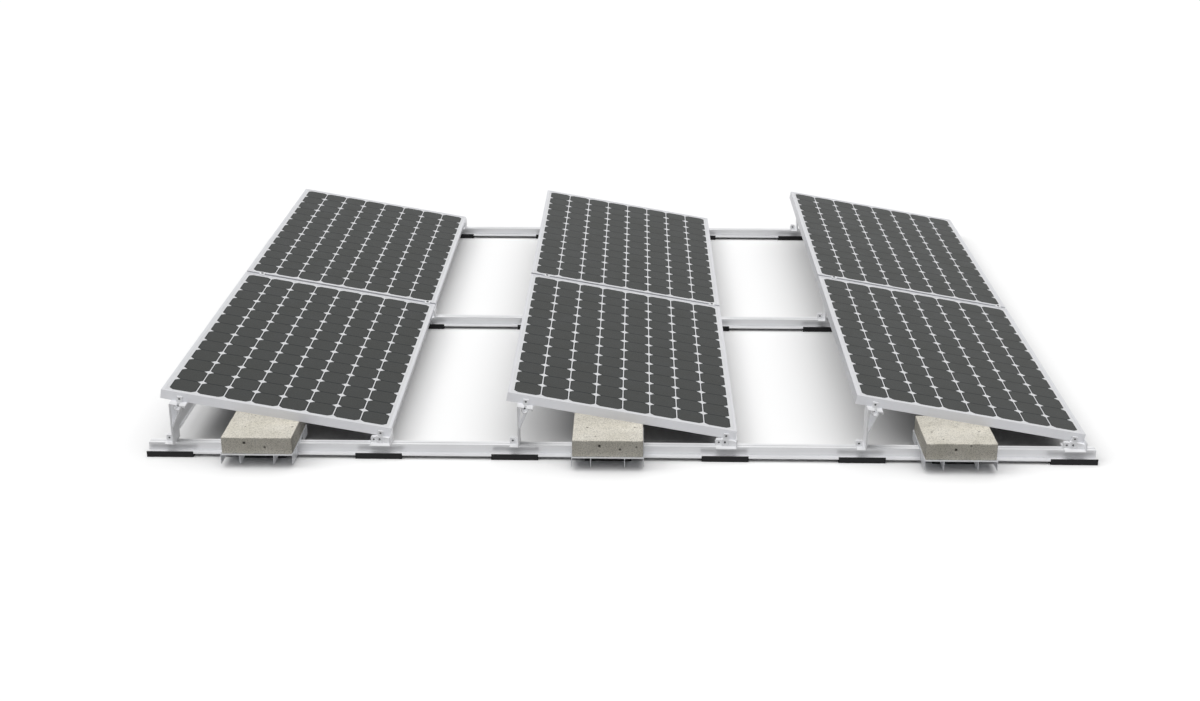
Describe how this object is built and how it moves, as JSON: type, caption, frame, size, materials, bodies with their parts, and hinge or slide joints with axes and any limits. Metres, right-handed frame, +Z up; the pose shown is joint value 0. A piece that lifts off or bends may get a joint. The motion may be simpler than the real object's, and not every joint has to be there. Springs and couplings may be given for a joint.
{
  "type": "ballasted solar panel mount",
  "caption": "Flat-roof mount: tilted rows of framed solar panels on aluminium rails and supports, held down by concrete blocks on trays over rubber mats.",
  "frame": {"origin": "centre of the whole array's outline on the floor", "axes": "+X down the panels' slope and along the rails, +Y from the ballast rail to the rear rail, +Z up"},
  "size_m": [4.0554, 3.538, 0.2901],
  "materials": {
    "panel_frame": "satin anodised",
    "laminate": "glossy glass over dark cells with white gaps",
    "rail": "bright drawn",
    "support": "plain extruded",
    "mat": "matt black",
    "ballast_tray": "galvanised sheet",
    "ballast_block": "plain concrete"
  },
  "bodies": {
    "root": {"frame_front_1": "panel_frame", "laminate_front_1": "laminate", "frame_rear_1": "panel_frame", "laminate_rear_1": "laminate", "frame_front_2": "panel_frame", "laminate_front_2": "laminate", "frame_rear_2": "panel_frame", "laminate_rear_2": "laminate", "frame_front_3": "panel_frame", "laminate_front_3": "laminate", "frame_rear_3": "panel_frame", "laminate_rear_3": "laminate", "rail_front": "rail", "rail_middle": "rail", "rail_rear": "rail", "mat_tall_front_1": "mat", "mat_low_front_1": "mat", "tall_support_front_1": "support", "low_support_front_1": "support", "mat_tall_middle_1": "mat", "mat_low_middle_1": "mat", "tall_support_middle_1": "support", "low_support_middle_1": "support", "mat_tall_rear_1": "mat", "mat_low_rear_1": "mat", "tall_support_rear_1": "support", "low_support_rear_1": "support", "mat_ballast_1": "mat", "ballast_tray_1": "ballast_tray", "ballast_block_1": "ballast_block", "mat_tall_front_2": "mat", "mat_low_front_2": "mat", "tall_support_front_2": "support", "low_support_front_2": "support", "mat_tall_middle_2": "mat", "mat_low_middle_2": "mat", "tall_support_middle_2": "support", "low_support_middle_2": "support", "mat_tall_rear_2": "mat", "mat_low_rear_2": "mat", "tall_support_rear_2": "support", "low_support_rear_2": "support", "mat_ballast_2": "mat", "ballast_tray_2": "ballast_tray", "ballast_block_2": "ballast_block", "mat_tall_front_3": "mat", "mat_low_front_3": "mat", "tall_support_front_3": "support", "low_support_front_3": "support", "mat_tall_middle_3": "mat", "mat_low_middle_3": "mat", "tall_support_middle_3": "support", "low_support_middle_3": "support", "mat_tall_rear_3": "mat", "mat_low_rear_3": "mat", "tall_support_rear_3": "support", "low_support_rear_3": "support", "mat_ballast_3": "mat", "ballast_tray_3": "ballast_tray", "ballast_block_3": "ballast_block"}
  },
  "joints": []
}
